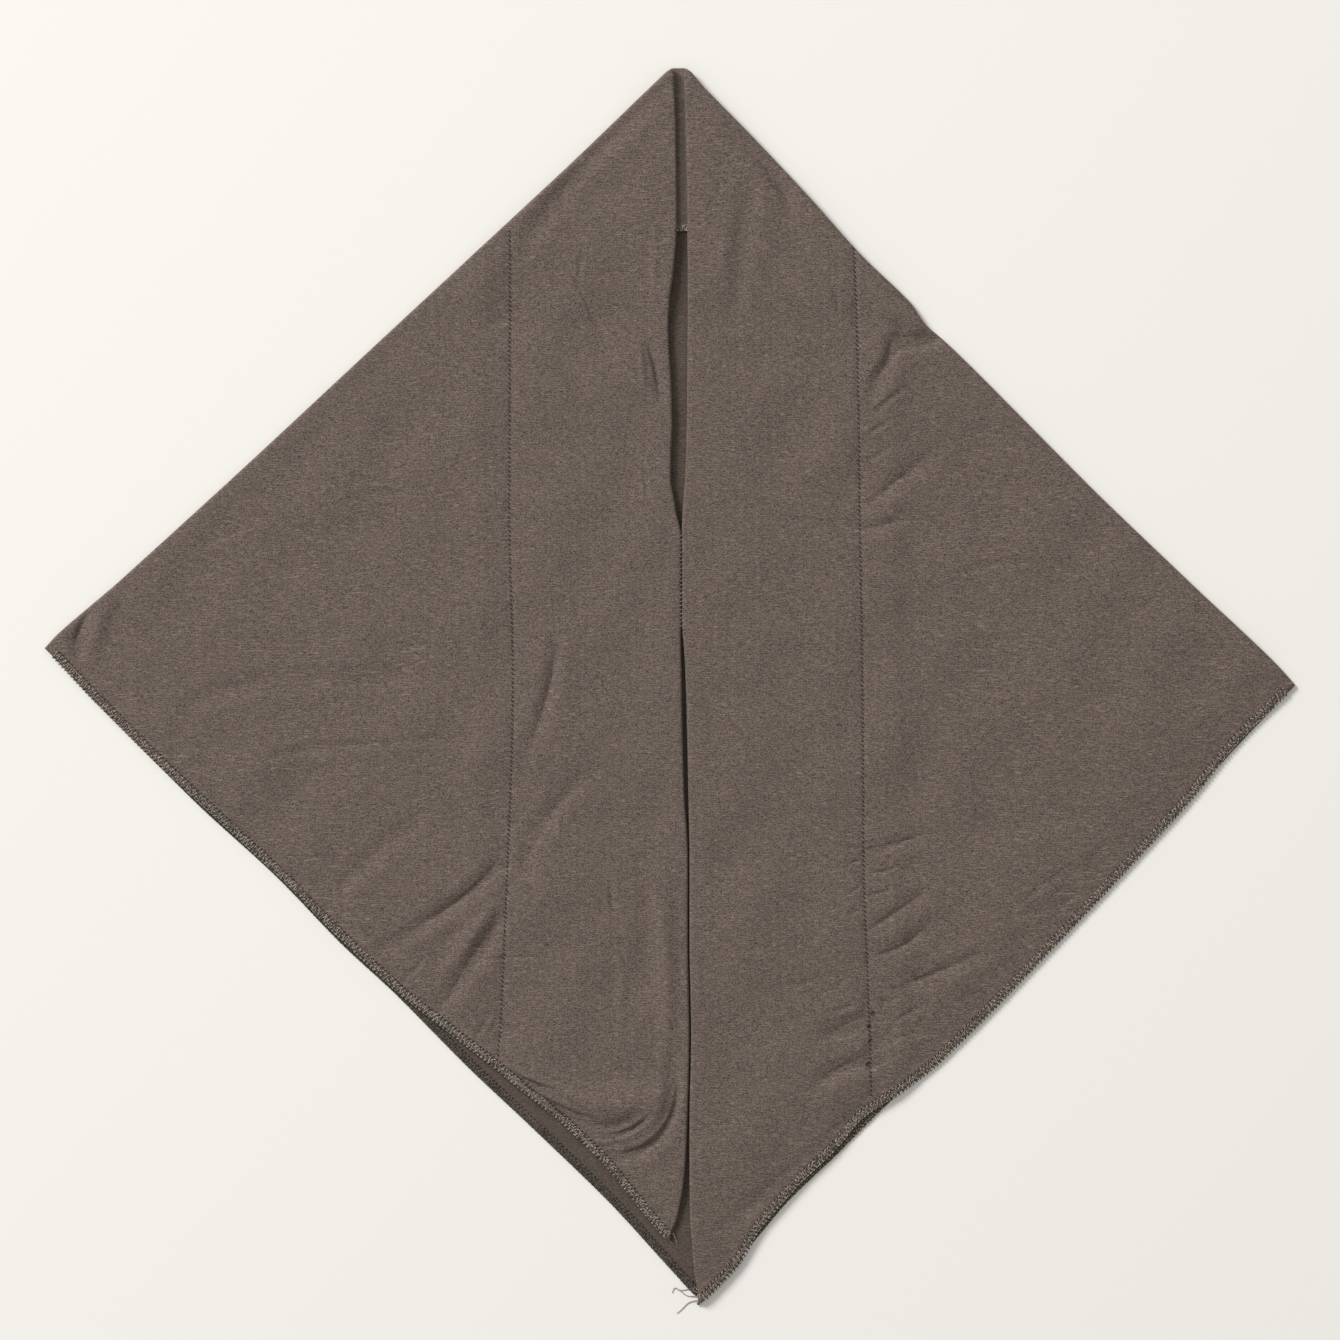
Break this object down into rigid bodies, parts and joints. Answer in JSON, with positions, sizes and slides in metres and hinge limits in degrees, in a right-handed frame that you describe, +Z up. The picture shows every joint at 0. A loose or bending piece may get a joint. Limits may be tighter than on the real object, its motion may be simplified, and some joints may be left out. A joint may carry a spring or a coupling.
{
  "type": "headscarf",
  "caption": "Slip-on jersey headscarf laid flat and folded to a diamond, with a face opening above a short chin seam.",
  "frame": {"origin": "on the surface that the scarf lies on, below the middle of its bounding box", "axes": "+Z up from the surface, +Y towards the crown, +X to the laid scarf's right in the picture"},
  "size_m": [0.7498, 0.7399, 0.0068],
  "materials": {
    "front_jersey": "matt slubbed knit, right side",
    "back_jersey": "matt knit, wrong side",
    "facing_jersey": "matt knit, turned under"
  },
  "bodies": {
    "root": {"back_panel": "back_jersey", "front_left": "front_jersey", "front_right": "front_jersey", "facing_crown": "facing_jersey", "facing_left": "facing_jersey", "facing_right": "facing_jersey"}
  },
  "joints": []
}
